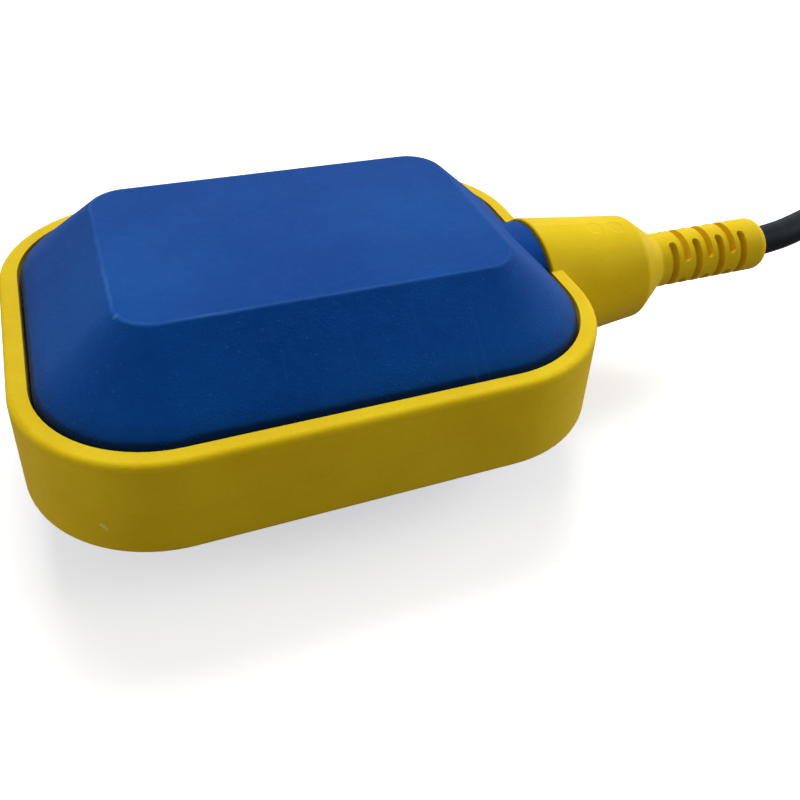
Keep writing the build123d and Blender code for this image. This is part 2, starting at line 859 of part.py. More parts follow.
def corner_radii(points):
    """Radius of the arc at each inner point: as large as its two runs allow."""
    vectors = [Vector(*p) for p in points]
    runs = [b - a for a, b in zip(vectors, vectors[1:])]
    radii = []
    for before, after in zip(runs, runs[1:]):
        turn = math.radians(before.get_angle(after))
        radii.append(0.45 * min(before.length, after.length) / math.tan(turn / 2))
    return radii


def coil_centre():
    """Centre of the coil, beside the end of the lead's straight run."""
    (x0, y0, _), (x1, y1, _) = cable_points[-2:]
    length = math.hypot(x1 - x0, y1 - y0)
    return x1 + coil_outer_radius * (y1 - y0) / length, y1 - coil_outer_radius * (x1 - x0) / length


def cable():
    """The free lead from the nose down to the coil."""
    radii = corner_radii(cable_points)
    lead = tube(cable_points, radii, cable_radius)
    path = FilletPolyline(*cable_points, radius=radii)
    print("lead bend radii", [round(r, 1) for r in radii])
    print("lead length", round(path.length, 1))
    print("lead volume", round(lead.volume), "against", round(path.length * math.pi * cable_radius**2))
    return lead


def cable_coil():
    """Outer shape of the coiled lead: two full layers, and a third that leaves room for the bared end."""
    x, y = coil_centre()
    outer = coil_outer_radius + cable_radius
    inner = coil_outer_radius - coil_turns_wide * cable_diameter - cable_radius
    top_inner = coil_outer_radius - coil_top_turns * cable_diameter - cable_radius
    corners = [
        (inner, 0),
        (outer, 0),
        (outer, 3 * cable_diameter),
        (top_inner, 3 * cable_diameter),
        (top_inner, 2 * cable_diameter),
        (inner, 2 * cable_diameter),
    ]
    ring = revolve(make_face(Polyline(*[(r, 0, z) for r, z in corners], close=True)), Axis.Z)
    rims = [e for e in ring.edges() if abs(e.center().Z - 2 * cable_diameter) > 1 or e.radius < top_inner - 1]
    return Pos(x, y, 0) * chamfer(rims, 0.5 * cable_radius)


def tail_radius(lane):
    """Distance of one bared core from the coil's centre."""
    inner = coil_outer_radius - coil_turns_wide * cable_diameter - cable_radius
    return inner + core_radius + 0.1 + lane * (core_diameter + 0.05)


def tail_place(lane, angle):
    """Point on a bared core at an angle round the coil, and its direction."""
    x, y = coil_centre()
    radius = tail_radius(lane)
    turn = math.radians(angle)
    z = 2 * cable_diameter + core_radius + 0.1
    point = (x + radius * math.cos(turn), y + radius * math.sin(turn), z)
    return point, (math.sin(turn), -math.cos(turn), 0)


def bared_core(lane):
    """One core past the end of the sheath, lying in the coil's upper ledge."""
    start, direction = tail_place(lane, tail_start_angle)
    middle, _ = tail_place(lane, (tail_start_angle + tail_end_angle) / 2)
    end, _ = tail_place(lane, tail_end_angle)
    path = ThreePointArc(start, middle, end)
    return sweep(Plane(origin=start, z_dir=direction) * Circle(core_radius), path=path)


def ferrule(lane):
    """Crimped end sleeve with its insulating collar, straight across the coil's ledge."""
    start, _ = tail_place(lane, tail_end_angle)
    inward = math.degrees(math.asin(ferrule_length / 2 / tail_radius(1)))
    _, direction = tail_place(lane, tail_end_angle - inward)
    plane = Plane(origin=start, z_dir=direction)
    collar = extrude(plane * Circle(core_radius), ferrule_collar)
    form = collar + extrude(plane * Circle(ferrule_pin_radius), ferrule_length)
    return form - bared_core(lane)


def build():
    """Make every piece, by node name."""
    spots = core_spots()
    return {
        "upper_shell": upper_shell(),
        "lower_shell": lower_shell(),
        "bumper_band": bumper_band(),
        "switch_carrier": switch_carrier(),
        "carrier_cover": carrier_cover(),
        "carrier_screws": screws(carrier_screw_places(), base_top, carrier_screw_length),
        "cover_screws": screws(
            cover_screw_places(), cover_bottom + carrier_cover_thickness, cover_screw_length
        ),
        "steel_ball": ball(),
        "microswitch_case": microswitch_case(),
        "microswitch_cover": microswitch_cover(),
        "microswitch_lever": microswitch_lever(),
        "lever_pin": lever_pin(),
        "plunger": plunger(),
        "contact_blade": contact_blade(),
        "common_terminal": common_terminal(),
        "normally_closed_terminal": normally_closed_terminal(),
        "normally_open_terminal": normally_open_terminal(),
        "receptacle_common": receptacle(common_x),
        "receptacle_closed": receptacle(closed_terminal_x),
        "receptacle_open": receptacle(open_terminal_x),
        "core_black": core_wire(common_x, 0, *spots[0]),
        "core_blue": core_wire(closed_terminal_x, 1, *spots[1]),
        "core_brown": core_wire(open_terminal_x, 2, *spots[2]),
        "cable_entry": cable_entry(),
        "cord_grip": cord_grip(),
        "grip_screws": screws(
            [(grip_x, -grip_screw_y), (grip_x, grip_screw_y)], seam_z + grip_foot, grip_screw_length
        ),
        "potting_plug": potting_plug(),
        "cable_seal": cable_seal(),
        "cable": cable(),
        "cable_coil": cable_coil(),
        "tail_black": bared_core(0),
        "tail_blue": bared_core(1),
        "tail_brown": bared_core(2),
        "ferrule_black": ferrule(0),
        "ferrule_blue": ferrule(1),
        "ferrule_brown": ferrule(2),
    }


def write(pieces):
    """Write one STEP file for each piece."""
    os.makedirs("parts", exist_ok=True)
    for name, piece in pieces.items():
        shape = Compound(children=piece) if isinstance(piece, list) else piece
        export_step(shape, f"parts/{name}.step")


write(build())
print("plunger stroke", round(plunger_stroke(), 4), "blade swing", round(blade_swing(), 4))
print("coil centre", [round(v, 2) for v in coil_centre()])
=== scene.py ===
"""Cable float switch: a tilt-operated level switch on its lead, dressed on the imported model.

Lengths are in metres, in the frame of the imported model: X runs from the float towards its lead, Y across
the float and Z up, with the origin in the middle of the flat face on which the float rests.
"""

import logging
import math
from abc import ABC, abstractmethod
from dataclasses import dataclass, field
from enum import Enum
from typing import Optional, Union

import bpy
from mathutils import Matrix, Vector


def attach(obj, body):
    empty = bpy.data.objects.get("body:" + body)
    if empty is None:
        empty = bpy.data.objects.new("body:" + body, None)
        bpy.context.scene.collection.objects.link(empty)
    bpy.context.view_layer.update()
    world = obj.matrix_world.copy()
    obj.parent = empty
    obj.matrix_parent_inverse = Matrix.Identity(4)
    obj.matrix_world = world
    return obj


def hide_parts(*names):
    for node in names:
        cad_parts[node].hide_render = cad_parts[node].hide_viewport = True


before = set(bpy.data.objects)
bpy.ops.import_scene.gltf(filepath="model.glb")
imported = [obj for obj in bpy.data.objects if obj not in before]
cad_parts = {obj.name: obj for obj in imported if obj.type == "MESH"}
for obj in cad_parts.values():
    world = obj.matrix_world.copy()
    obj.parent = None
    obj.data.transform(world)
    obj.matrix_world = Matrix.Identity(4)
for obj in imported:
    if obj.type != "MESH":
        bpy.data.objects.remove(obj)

logging.basicConfig(level=logging.INFO, format="%(message)s")
log = logging.getLogger("float_switch")

Colour = tuple[float, float, float, float]
Point = tuple[float, float, float]
Socket = bpy.types.NodeSocket
Value = Union[Socket, float]

FLOAT_BODY = "float"
MM = 0.001


def srgb(red: int, green: int, blue: int) -> Colour:
    """Colour from the eight-bit values of a screen.

    Args:
        red: Red, from 0 to 255.
        green: Green, from 0 to 255.
        blue: Blue, from 0 to 255.

    Returns:
        The linear colour with full alpha.
    """
    parts = []
    for part in (red / 255, green / 255, blue / 255):
        parts.append(part / 12.92 if part <= 0.04045 else ((part + 0.055) / 1.055) ** 2.4)
    return (parts[0], parts[1], parts[2], 1.0)


class Graph:
    """A node tree with short calls for the nodes that these finishes use."""

    def __init__(self, tree: bpy.types.NodeTree) -> None:
        """Takes over a node tree to build in."""
        self.tree = tree

    def node(self, kind: str, **settings: object) -> bpy.types.Node:
        """Adds a node.

        Args:
            kind: Blender's name of the node's type.
            settings: Attributes to set on it.

        Returns:
            The node.
        """
        made = self.tree.nodes.new(kind)
        for name, value in settings.items():
            setattr(made, name, value)
        return made

    def feed(self, socket: Socket, value: object) -> None:
        """Links or sets an input.

        Args:
            socket: The input.
            value: Another node's output, or a plain value.
        """
        if isinstance(value, bpy.types.NodeSocket):
            self.tree.links.new(value, socket)
        else:
            socket.default_value = value

    def math(self, operation: str, *values: Value, clamp: bool = False) -> Socket:
        """Adds a Math node.

        Args:
            operation: The node's operation.
            values: Its inputs in order.
            clamp: Whether the result is kept between 0 and 1.

        Returns:
            Its result.
        """
        made = self.node("ShaderNodeMath", operation=operation, use_clamp=clamp)
        for i, value in enumerate(values):
            self.feed(made.inputs[i], value)
        return made.outputs[0]

    def ramp(self, value: Value, low: float, high: float, start: float = 0.0, end: float = 1.0) -> Socket:
        """Adds a smooth ramp between two values.

        Args:
            value: What is mapped.
            low: Where the ramp begins.
            high: Where the ramp ends.
            start: The result at its beginning.
            end: The result at its end.

        Returns:
            The mapped value.
        """
        made = self.node("ShaderNodeMapRange", interpolation_type="SMOOTHSTEP")
        for i, part in enumerate((value, low, high, start, end)):
            self.feed(made.inputs[i], part)
        return made.outputs[0]

    def mix(self, factor: Value, first: object, second: object) -> Socket:
        """Adds a colour mix.

        Args:
            factor: Share of the second colour.
            first: The first colour.
            second: The second colour.

        Returns:
            The mixed colour.
        """
        made = self.node("ShaderNodeMix", data_type="RGBA")
        self.feed(made.inputs[0], factor)
        self.feed(made.inputs[6], first)
        self.feed(made.inputs[7], second)
        return made.outputs[2]

    def noise(self, vector: Socket, scale: Value, detail: float = 2.0, roughness: float = 0.5) -> Socket:
        """Adds a noise texture.

        Args:
            vector: Where it is read.
            scale: Its scale.
            detail: Its octaves.
            roughness: Share of the fine octaves.

        Returns:
            Its value.
        """
        made = self.node("ShaderNodeTexNoise")
        self.feed(made.inputs["Vector"], vector)
        self.feed(made.inputs["Scale"], scale)
        self.feed(made.inputs["Detail"], detail)
        self.feed(made.inputs["Roughness"], roughness)
        return made.outputs[0]

    def cells(self, vector: Socket, scale: Value) -> Socket:
        """Adds a smooth cell texture.

        Args:
            vector: Where it is read.
            scale: Its scale.

        Returns:
            The distance to the nearest cell's middle.
        """
        made = self.node("ShaderNodeTexVoronoi", feature="SMOOTH_F1")
        self.feed(made.inputs["Vector"], vector)
        self.feed(made.inputs["Scale"], scale)
        made.inputs["Smoothness"].default_value = 0.6
        return made.outputs["Distance"]

    def stretched(
        self, vector: Socket, scale: Point, place: Point = (0, 0, 0), turn: Point = (0, 0, 0)
    ) -> Socket:
        """Adds a Mapping node.

        Args:
            vector: What is mapped.
            scale: Its stretch along each axis.
            place: Its shift.
            turn: Its turn, in radians.

        Returns:
            The mapped vector.
        """
        made = self.node("ShaderNodeMapping")
        self.feed(made.inputs["Vector"], vector)
        made.inputs["Location"].default_value = place
        made.inputs["Rotation"].default_value = turn
        made.inputs["Scale"].default_value = scale
        return made.outputs[0]

    def parts(self, vector: Socket) -> tuple[Socket, Socket, Socket]:
        """Takes a vector apart.

        Args:
            vector: The vector.

        Returns:
            Its X, Y and Z.
        """
        made = self.node("ShaderNodeSeparateXYZ")
        self.feed(made.inputs[0], vector)
        return made.outputs[0], made.outputs[1], made.outputs[2]

    def near(self, vector: Socket, point: Point, radius: float) -> Socket:
        """Mask of a soft round spot.

        Args:
            vector: Where it is read.
            point: The spot's middle.
            radius: The spot's radius.

        Returns:
            One in the spot and zero outside.
        """
        made = self.node("ShaderNodeVectorMath", operation="DISTANCE")
        self.feed(made.inputs[0], vector)
        made.inputs[1].default_value = point
        return self.ramp(made.outputs["Value"], 0.4 * radius, radius, 1.0, 0.0)

    def bump(self, height: Socket, depth: float, strength: float) -> Socket:
        """Adds a Bump node.

        Args:
            height: The height, in units of the depth.
            depth: The height of one unit, in metres.
            strength: How much of it shows.

        Returns:
            The bent normal.
        """
        made = self.node("ShaderNodeBump")
        made.inputs["Strength"].default_value = strength
        made.inputs["Distance"].default_value = depth
        self.feed(made.inputs["Height"], height)
        return made.outputs[0]

    def use(self, group: bpy.types.NodeTree, **values: object) -> bpy.types.Node:
        """Adds a shared group and feeds its named inputs.

        Args:
            group: The group.
            values: Its inputs, with underscores for the spaces in their names.

        Returns:
            The group's node.
        """
        made = self.node("ShaderNodeGroup", node_tree=group)
        for name, value in values.items():
            self.feed(made.inputs[name.replace("_", " ")], value)
        return made


class SharedEffects:
    """The node groups that several finishes share."""

    def __init__(self) -> None:
        """Makes every group."""
        self.pebble = self.make_pebble()
        self.cloudy = self.make_cloudy()
        self.scuffs = self.make_scuffs()
        self.flow = self.make_flow()

    def begin(
        self, name: str, inputs: dict[str, object], outputs: dict[str, str]
    ) -> tuple[Graph, bpy.types.Node, bpy.types.Node]:
        """Starts a group.

        Args:
            name: The group's name.
            inputs: Each input's default value; "vector" stands for a vector.
            outputs: Each output's kind of socket.

        Returns:
            The group's graph, and its input and output nodes.
        """
        group = bpy.data.node_groups.new(name, "ShaderNodeTree")
        for label, default in inputs.items():
            kind = "NodeSocketFloat"
            if default == "vector":
                kind = "NodeSocketVector"
            elif isinstance(default, tuple):
                kind = "NodeSocketColor"
            socket = group.interface.new_socket(label, in_out="INPUT", socket_type=kind)
            if default != "vector":
                socket.default_value = default
        for label, kind in outputs.items():
            group.interface.new_socket(label, in_out="OUTPUT", socket_type=kind)
        graph = Graph(group)
        return graph, graph.node("NodeGroupInput"), graph.node("NodeGroupOutput")

    def make_pebble(self) -> bpy.types.NodeTree:
        """Fine leather-like texture of a spark-eroded mould, as a height.

        Returns:
            The group.
        """
        inputs = {"Vector": "vector", "Scale": 1400.0, "Patchiness": 0.5}
        outputs = {"Height": "NodeSocketFloat"}
        graph, source, sink = self.begin("Pebbled mould texture", inputs, outputs)
        vector = source.outputs["Vector"]
        scale = source.outputs["Scale"]
        wander = graph.noise(vector, graph.math("MULTIPLY", scale, 0.6), 2.0)
        pebbles = graph.cells(vector, scale)
        raised = graph.ramp(pebbles, 0.15, 0.75, 1.0, 0.0)
        fine = graph.noise(vector, graph.math("MULTIPLY", scale, 3.0), 3.0, 0.6)
        patches = graph.ramp(graph.noise(vector, graph.math("MULTIPLY", scale, 0.045), 3.0), 0.35, 0.7)
        strength = graph.math("MULTIPLY_ADD", patches, source.outputs["Patchiness"], 0.6)
        coarse = graph.math("ADD", raised, graph.math("MULTIPLY", wander, 0.7))
        height = graph.math("MULTIPLY", coarse, strength)
        graph.feed(sink.inputs[0], graph.math("MULTIPLY_ADD", fine, 0.35, height))
        return graph.tree

    def make_cloudy(self) -> bpy.types.NodeTree:
        """Slow drift between two tones, as in pigmented plastic.

        Returns:
            The group.
        """
        inputs = {
            "Vector": "vector",
            "Scale": 40.0,
            "Light": (1.0, 1.0, 1.0, 1.0),
            "Deep": (0.5, 0.5, 0.5, 1.0),
        }
        graph, source, sink = self.begin("Cloudy tone", inputs, {"Color": "NodeSocketColor"})
        vector = source.outputs["Vector"]
        broad = graph.noise(vector, source.outputs["Scale"], 4.0, 0.55)
        speckle = graph.noise(vector, graph.math("MULTIPLY", source.outputs["Scale"], 22.0), 2.0)
        drift = graph.ramp(broad, 0.3, 0.7, 0.0, 0.8)
        share = graph.math("ADD", drift, graph.ramp(speckle, 0.4, 0.75, 0.0, 0.25))
        graph.feed(sink.inputs[0], graph.mix(share, source.outputs["Deep"], source.outputs["Light"]))
        return graph.tree

    def make_scuffs(self) -> bpy.types.NodeTree:
        """Thin scratches that run in several directions, as a mask.

        Returns:
            The group.
        """
        inputs = {"Vector": "vector", "Density": 0.3}
        graph, source, sink = self.begin("Fine scuffs", inputs, {"Mask": "NodeSocketFloat"})
        vector = source.outputs["Vector"]
        total: Optional[Socket] = None
        for turn, across, along in ((0.5, 900.0, 14.0), (1.9, 1200.0, 18.0), (2.7, 700.0, 11.0)):
            strokes = graph.stretched(vector, (across, along, along), turn=(0.3, 0.2, turn))
            spread = graph.stretched(vector, (60.0, 60.0, 60.0), place=(turn, 0, 0))
            line = graph.ramp(graph.noise(strokes, 1.0, 1.0), 0.69, 0.74)
            patch = graph.ramp(graph.noise(spread, 1.0, 2.0), 0.5, 0.62)
            mark = graph.math("MULTIPLY", line, patch)
            total = mark if total is None else graph.math("MAXIMUM", total, mark)
        graph.feed(sink.inputs[0], graph.math("MULTIPLY", total, source.outputs["Density"], clamp=True))
        return graph.tree

    def make_flow(self) -> bpy.types.NodeTree:
        """Faint streaks left round a moulding where the melt ran, as a value.

        Returns:
            The group.
        """
        inputs = {"Vector": "vector", "Across": 900.0}
        graph, source, sink = self.begin("Melt streaks", inputs, {"Value": "NodeSocketFloat"})
        x, y, z = graph.parts(source.outputs["Vector"])
        joined = graph.node("ShaderNodeCombineXYZ")
        graph.feed(joined.inputs[0], graph.math("MULTIPLY", x, 18.0))
        graph.feed(joined.inputs[1], graph.math("MULTIPLY", y, 18.0))
        graph.feed(joined.inputs[2], graph.math("MULTIPLY", z, source.outputs["Across"]))
        graph.feed(sink.inputs[0], graph.ramp(graph.noise(joined.outputs[0], 1.0, 3.0, 0.6), 0.3, 0.7))
        return graph.tree


class Lay(Enum):
    """Which way the fine lines of a metal finish run."""

    ALONG_X = (12.0, 500.0, 500.0)
    ALONG_Y = (500.0, 12.0, 500.0)
    EVEN = (260.0, 260.0, 260.0)


class MaterialGraph(Graph):
    """A material's node tree, with what its finish starts from."""

    def __init__(self, name: str, shared: SharedEffects) -> None:
        """Starts a material.

        Args:
            name: The material's name.
            shared: The node groups.
        """
        self.material = bpy.data.materials.new(name)
        self.material.use_nodes = True
        super().__init__(self.material.node_tree)
        self.shader = self.tree.nodes["Principled BSDF"]
        self.place = self.node("ShaderNodeTexCoord").outputs["Object"]
        self.shared = shared

    def effect(self, group: bpy.types.NodeTree, **values: object) -> Socket:
        """Adds a shared group at the Object coordinates and gives its output."""
        return self.use(group, Vector=self.place, **values).outputs[0]

    def surface(self, **values: object) -> None:
        """Links or sets the shader's own sockets, named with underscores for the spaces."""
        for name, value in values.items():
            self.feed(self.shader.inputs[name.replace("_", " ")], value)


@dataclass(frozen=True)
class Finish(ABC):
    """A material that drifts between two tones.

    Attributes:
        name: Its name.
        light: Its lighter tone.
        deep: Its deeper tone.
    """

    name: str
    light: Colour
    deep: Colour

    def build(self, shared: SharedEffects) -> bpy.types.Material:
        """Makes the material.

        Args:
            shared: The node groups.

        Returns:
            The material.
        """
        graph = MaterialGraph(self.name, shared)
        self.wire(graph)
        return graph.material

    @abstractmethod
    def wire(self, graph: MaterialGraph) -> None:
        """Wires the material's nodes."""


@dataclass(frozen=True)
class MouldedPlastic(Finish):
    """Pigmented plastic with the texture of its mould.

    Attributes:
        roughness: Roughness between the pebbles.
        pebble_scale: Cells for each metre.
        pebble_depth: Height of the texture, in metres.
        scuff: How much its scratches show.
        coat: Weight of the clear coat over it.
    """

    roughness: float = 0.42
    pebble_scale: float = 1500.0
    pebble_depth: float = 0.02 * MM
    scuff: float = 0.25
    coat: float = 0.0

    def wire(self, graph: MaterialGraph) -> None:
        """Wires the material's nodes.

        Args:
            graph: The material's graph.
        """
        shared = graph.shared
        tone = graph.effect(shared.cloudy, Scale=38.0, Light=self.light, Deep=self.deep)
        marks = graph.effect(shared.scuffs, Density=self.scuff)
        grain = graph.effect(shared.pebble, Scale=self.pebble_scale, Patchiness=0.6)
        pale = tuple(min(1.0, 1.25 * part + 0.04) for part in self.light[:3]) + (1.0,)
        rough = graph.math("MULTIPLY_ADD", grain, 0.07, self.roughness - 0.05)
        graph.surface(
            Base_Color=graph.mix(marks, tone, pale),
            Roughness=graph.math("MULTIPLY_ADD", marks, 0.2, rough),
            Coat_Weight=self.coat,
            Coat_Roughness=0.25,
            Normal=graph.bump(grain, self.pebble_depth, 0.8),
        )


@dataclass(frozen=True)
class ShellPlastic(Finish):
    """The float's blue plastic: pebbled slopes, finer flat faces, painted glints, painted shade at the
    foot, and a pale edge that is partly a rub and partly a painted highlight.

    Attributes:
        wear_and_highlight: The pale colour of the scuffs, the nick and the rubbed edge, and of the painted
            edge highlight and painted glints.
        gap_shade: Painted shade at the foot of the slope, darkest in the gap where it goes into the band.
        half_length: Half the flat face's length.
        half_width: Half the flat face's width.
        corner: The flat face's corner radius.
        height: The float's whole height.
        band: The band's height.
        nick: Middle of the nick at the flat face's corner.
        nick_radius: Its radius.
        thick_shade: How far up from the band the painted shade is thick.
        thin_shade: How far up the painted shade shows at all.
        highlight_width: How far the pale edge, partly a rub and partly a painted highlight, reaches from
            the flat face's outline.
        pebble_scale: Cells for each metre.
        pebble_depth: Height of the texture, in metres.
        roughness: Roughness between the pebbles.
    """

    name: str = "Blue shell"
    light: Colour = srgb(6, 79, 158)
    deep: Colour = srgb(0, 65, 144)
    wear_and_highlight: Colour = srgb(66, 118, 182)
    gap_shade: Colour = srgb(1, 28, 62)
    half_length: float = 33.4 * MM
    half_width: float = 21.8 * MM
    corner: float = 6.4 * MM
    height: float = 42.0 * MM
    band: float = 18.1 * MM
    nick: Point = (-0.0328, -0.0178, 0.0416)
    nick_radius: float = 0.7 * MM
    thick_shade: float = 1.2 * MM
    thin_shade: float = 3.4 * MM
    highlight_width: float = 0.5 * MM
    pebble_scale: float = 2200.0
    pebble_depth: float = 0.02 * MM
    roughness: float = 0.58

    def foot_shade(self, graph: MaterialGraph, above: Socket) -> Socket:
        """Mask of the painted shade at the foot of the slope, thickest in the gap beside the band.

        Args:
            graph: The material's graph.
            above: Height over the middle of the float, to either side.

        Returns:
            The mask.
        """
        uneven = graph.math("MULTIPLY_ADD", graph.noise(graph.place, 180.0, 3.0), 0.0008, -0.0004)
        height = graph.math("ADD", above, uneven)
        seat = self.band / 2
        thick = graph.ramp(height, seat + 0.2 * MM, seat + self.thick_shade, 0.9, 0.0)
        thin = graph.ramp(height, seat, seat + self.thin_shade, 0.35, 0.0)
        return graph.math("MAXIMUM", thick, thin)

    def outline_distance(self, graph: MaterialGraph) -> Socket:
        """Distance from the flat face's outline, negative inside it.

        Args:
            graph: The material's graph.

        Returns:
            The distance, in metres.
        """
        x, y, _ = graph.parts(graph.place)
        over_x = graph.math("SUBTRACT", graph.math("ABSOLUTE", x), self.half_length - self.corner)
        over_y = graph.math("SUBTRACT", graph.math("ABSOLUTE", y), self.half_width - self.corner)
        far_x = graph.math("MAXIMUM", over_x, 0.0)
        far_y = graph.math("MAXIMUM", over_y, 0.0)
        squares = graph.math("MULTIPLY_ADD", far_x, far_x, graph.math("MULTIPLY", far_y, far_y))
        inside = graph.math("MINIMUM", graph.math("MAXIMUM", over_x, over_y), 0.0)
        return graph.math("SUBTRACT", graph.math("ADD", graph.math("SQRT", squares), inside), self.corner)

    def wire(self, graph: MaterialGraph) -> None:
        """Wires the material's nodes.

        Args:
            graph: The material's graph.
        """
        place, shared = graph.place, graph.shared
        x, _, z = graph.parts(place)
        middle = self.height / 2
        above = graph.math("ABSOLUTE", graph.math("SUBTRACT", z, middle))
        flat = graph.ramp(above, middle - 0.0004, middle - 0.0001)
        outline = self.outline_distance(graph)
        # Pale edge along the flat face's outline: partly a rub, partly a painted edge highlight; it fades
        # towards +X.
        ragged = graph.math("MULTIPLY_ADD", graph.noise(place, 260.0, 3.0), 0.0006, -0.0001)
        band = graph.math("ABSOLUTE", graph.math("ADD", outline, ragged))
        high = graph.ramp(above, middle - 0.0016, middle - 0.0007)
        edge_highlight = graph.math("MULTIPLY", graph.ramp(band, 0.2 * self.highlight_width, self.highlight_width, 1.0, 0.0), high)
        patches = graph.ramp(graph.noise(place, 70.0, 3.0), 0.3, 0.7, 0.1, 0.42)
        edge_highlight = graph.math("MULTIPLY", edge_highlight, patches)
        edge_highlight = graph.math("MULTIPLY", edge_highlight, graph.ramp(x, -0.004, 0.03, 1.0, 0.3))
        tone = graph.effect(shared.cloudy, Scale=30.0, Light=self.light, Deep=self.deep)
        # Painted shade: the foot of the slope darkens towards the gap beside the band.
        tone = graph.mix(self.foot_shade(graph, above), tone, self.gap_shade)
        marks = graph.effect(shared.scuffs, Density=0.05)
        nick = graph.near(place, self.nick, self.nick_radius)
        # Pale marks: real scuffs and the nick, with the painted edge highlight and the painted glints
        # below.
        pale_marks = graph.math("MAXIMUM", graph.math("MAXIMUM", edge_highlight, marks), graph.math("MULTIPLY", nick, 0.8))
        # Painted glints: sparse pale specks, fewer on the flat face than on the slopes.
        glints = graph.ramp(graph.noise(place, 1700.0, 1.0), 0.68, 0.77, 0.0, 0.2)
        glints = graph.math("MULTIPLY", glints, graph.math("MULTIPLY_ADD", flat, -0.6, 1.0))
        pale_marks = graph.math("MAXIMUM", pale_marks, glints)
        grain = graph.effect(shared.pebble, Scale=self.pebble_scale, Patchiness=0.8)
        depth = graph.math("MULTIPLY", grain, graph.math("MULTIPLY_ADD", flat, -0.55, 1.0))
        rough = graph.math("MULTIPLY_ADD", grain, 0.08, self.roughness)
        graph.surface(
            Base_Color=graph.mix(pale_marks, tone, self.wear_and_highlight),
            Roughness=graph.math("MULTIPLY_ADD", pale_marks, 0.12, rough),
            Normal=graph.bump(depth, self.pebble_depth, 0.9),
            Specular_IOR_Level=0.03,
            Sheen_Weight=0.065,
            Sheen_Roughness=0.5,
        )


@dataclass(frozen=True)
class BandPlastic(Finish):
    """The yellow moulding: smooth, with faint melt streaks, mottling and a few nicks.

    Attributes:
        nicked: The colour of a nick.
        nicks: The middle and radius of each nick.
        parting: Height of the mould's parting line.
        pin_marks: Middles of the ejector pins' prints on the barrel.
        pin_radius: Radius of such a print.
        texture_depth: Height of one unit of the texture, in metres.
        roughness: Its roughness.
    """

    name: str = "Yellow band"
    light: Colour = srgb(241, 210, 28)
    deep: Colour = srgb(231, 194, 14)
    nicked: Colour = srgb(255, 236, 130)
    nicks: tuple[tuple[Point, float], ...] = (
        ((-0.0398, -0.0351, 0.0177), 0.0005),
        ((-0.0395, -0.0353, 0.0174), 0.0005),
        ((-0.0392, -0.0356, 0.0170), 0.0004),
    )
    parting: float = 21.0 * MM
    pin_marks: tuple[Point, ...] = ((0.0612, -0.0015, 0.0329), (0.0662, -0.0015, 0.0324))
    pin_radius: float = 1.6 * MM
    texture_depth: float = 0.03 * MM
    roughness: float = 0.42

    def pin_mark(self, graph: MaterialGraph, point: Point) -> Socket:
        """Shallow round print of an ejector pin, deepest at its edge.

        Args:
            graph: The material's graph.
            point: The print's middle.

        Returns:
            Its depth.
        """
        away = graph.node("ShaderNodeVectorMath", operation="DISTANCE")
        graph.feed(away.inputs[0], graph.place)
        away.inputs[1].default_value = point
        distance = away.outputs["Value"]
        dish = graph.ramp(distance, self.pin_radius - 0.2 * MM, self.pin_radius + 0.1 * MM, 5.0, 0.0)
        edge = graph.math("ABSOLUTE", graph.math("SUBTRACT", distance, self.pin_radius))
        return graph.math("ADD", dish, graph.ramp(edge, 0.05 * MM, 0.3 * MM, 3.0, 0.0))

    def wire(self, graph: MaterialGraph) -> None:
        """Wires the material's nodes.

        Args:
            graph: The material's graph.
        """
        place, shared = graph.place, graph.shared
        tone = graph.effect(shared.cloudy, Scale=55.0, Light=self.light, Deep=self.deep)
        streaks = graph.effect(shared.flow, Across=800.0)
        marks = graph.effect(shared.scuffs, Density=0.12)
        shade = graph.mix(graph.math("MULTIPLY", streaks, 0.22), tone, self.deep)
        nick: Value = 0.0
        for point, radius in self.nicks:
            nick = graph.math("MAXIMUM", nick, graph.near(place, point, radius))
        pale_marks = graph.math("MAXIMUM", graph.math("MULTIPLY", marks, 0.5), graph.math("MULTIPLY", nick, 0.7))
        grain = graph.effect(shared.pebble, Scale=1100.0, Patchiness=0.4)
        rough = graph.math("MULTIPLY_ADD", grain, 0.06, self.roughness)
        height = graph.math("MULTIPLY_ADD", streaks, 0.6, graph.math("MULTIPLY", grain, 0.5))
        _, _, z = graph.parts(place)
        from_seam = graph.math("ABSOLUTE", graph.math("SUBTRACT", z, self.parting))
        seam = graph.ramp(from_seam, 0.04 * MM, 0.16 * MM, 1.0, 0.0)
        height = graph.math("MULTIPLY_ADD", seam, 1.2, height)
        for point in self.pin_marks:
            height = graph.math("SUBTRACT", height, self.pin_mark(graph, point))
        graph.surface(
            Base_Color=graph.mix(pale_marks, shade, self.nicked),
            Roughness=graph.math("MULTIPLY_ADD", streaks, 0.05, rough),
            Normal=graph.bump(height, self.texture_depth, 0.7),
            Specular_IOR_Level=0.03,
            Sheen_Weight=0.07,
            Sheen_Roughness=0.5,
            Subsurface_Weight=0.06,
            Subsurface_Radius=(1.6 * MM, 1.1 * MM, 0.3 * MM),
            Subsurface_Scale=1.0,
        )


@dataclass(frozen=True)
class SheathRubber(Finish):
    """Extruded lead sheath with fine lines along it and a dusty bloom.

    Attributes:
        roughness: Its roughness.
    """

    roughness: float = 0.48

    def wire(self, graph: MaterialGraph) -> None:
        """Wires the material's nodes.

        Args:
            graph: The material's graph.
        """
        place, shared = graph.place, graph.shared
        tone = graph.effect(shared.cloudy, Scale=60.0, Light=self.light, Deep=self.deep)
        marks = graph.effect(shared.scuffs, Density=0.35)
        bloom = graph.ramp(graph.noise(place, 420.0, 3.0), 0.45, 0.75, 0.0, 0.25)
        dusty = tuple(part + 0.018 for part in self.light[:3]) + (1.0,)
        fine = graph.noise(place, 2600.0, 2.0)
        graph.surface(
            Base_Color=graph.mix(graph.math("MAXIMUM", marks, bloom), tone, dusty),
            Roughness=graph.math("MULTIPLY_ADD", fine, 0.12, self.roughness - 0.06),
            Normal=graph.bump(fine, 0.02 * MM, 0.5),
            Specular_IOR_Level=0.1,
        )


